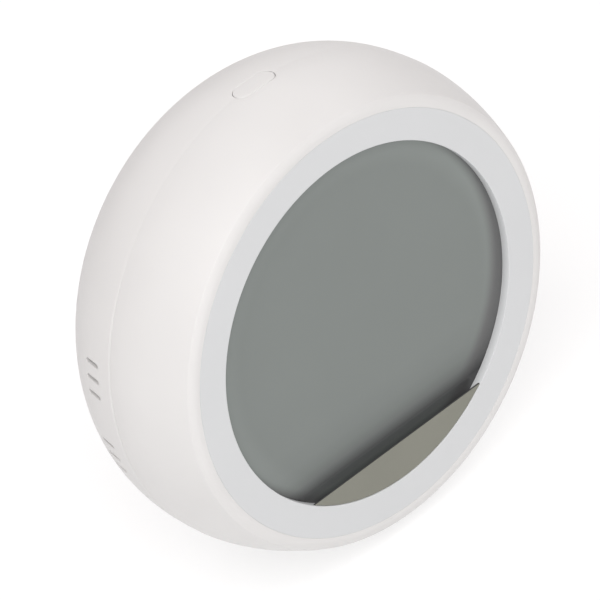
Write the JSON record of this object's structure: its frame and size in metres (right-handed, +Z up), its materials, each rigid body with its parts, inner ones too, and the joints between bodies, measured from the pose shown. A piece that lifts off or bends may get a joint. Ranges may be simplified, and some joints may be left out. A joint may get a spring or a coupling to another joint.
{
  "type": "air quality monitor",
  "caption": "Round desktop air quality monitor with a recessed round display in a flat bezel ring, a push button on top, side air vents and a power socket in its flat back.",
  "frame": {"origin": "centre of the bounding box in X and Y, at the height of the rubber foot's flat underside", "axes": "-Y is where the display faces and +Y is the flat back; +Z is up, towards the push button; +X is to the right as the display is read"},
  "size_m": [0.086, 0.038, 0.0858],
  "materials": {
    "shell_white": "fine satin texture, warm white",
    "ring_white": "smooth satin, cool white",
    "cover_grey": "smooth satin, warm olive grey",
    "display_glass": "polarised display glass, unpowered, grey-green",
    "inner_white": "plain moulded",
    "guide_clear": "polished acrylic",
    "reflector_white": "smooth film",
    "led_yellow": "clear resin over phosphor",
    "strip_rubber": "soft elastomer",
    "board_green": "solder mask",
    "chip_black": "moulded resin",
    "nickel": "nickel plated",
    "gold_plate": "thin gold plating",
    "plunger_red": "moulded",
    "battery_foil": "pouch foil",
    "lead_red": "cable sheath",
    "ribbon_white": "film",
    "mesh_black": "fine dust mesh",
    "foot_rubber": "matte silicone",
    "screw_steel": "dark zinc plated"
  },
  "bodies": {
    "housing": {"front_shell": "shell_white", "rear_shell": "shell_white", "bezel_ring": "ring_white", "ledge_cover": "cover_grey", "lcd_panel": "display_glass", "display_frame": "inner_white", "light_guide": "guide_clear", "reflector_sheet": "reflector_white", "backlight_led_left": "led_yellow", "backlight_led_right": "led_yellow", "zebra_strip": "strip_rubber", "main_board": "board_green", "wifi_module": "board_green", "sensor_board": "board_green", "power_board": "board_green", "mcu_chip": "chip_black", "buzzer": "chip_black", "switch_body": "chip_black", "sensor_header": "chip_black", "co2_header": "chip_black", "temp_humidity_sensor": "chip_black", "usb_tongue": "chip_black", "wifi_shield": "nickel", "gas_sensor": "nickel", "usb_socket": "nickel", "co2_sensor": "gold_plate", "battery": "battery_foil", "battery_plug": "inner_white", "battery_lead": "lead_red", "ribbon_socket_main": "inner_white", "ribbon_socket_power": "inner_white", "link_ribbon": "ribbon_white", "vent_mesh_left": "mesh_black", "vent_mesh_right": "mesh_black", "rubber_foot": "foot_rubber", "shell_screw_1": "screw_steel", "shell_screw_2": "screw_steel", "shell_screw_3": "screw_steel", "board_screw_1": "screw_steel", "board_screw_2": "screw_steel", "board_screw_3": "screw_steel", "power_screw_1": "screw_steel", "power_screw_2": "screw_steel"},
    "button": {"button_cap": "shell_white", "switch_plunger": "plunger_red"}
  },
  "joints": [
    {"name": "button_press", "type": "slide", "parent": "housing", "child": "button", "axis": [0, 0, -1], "range_m": [0, 0.0005], "stiffness_N_per_m": 1200}
  ]
}
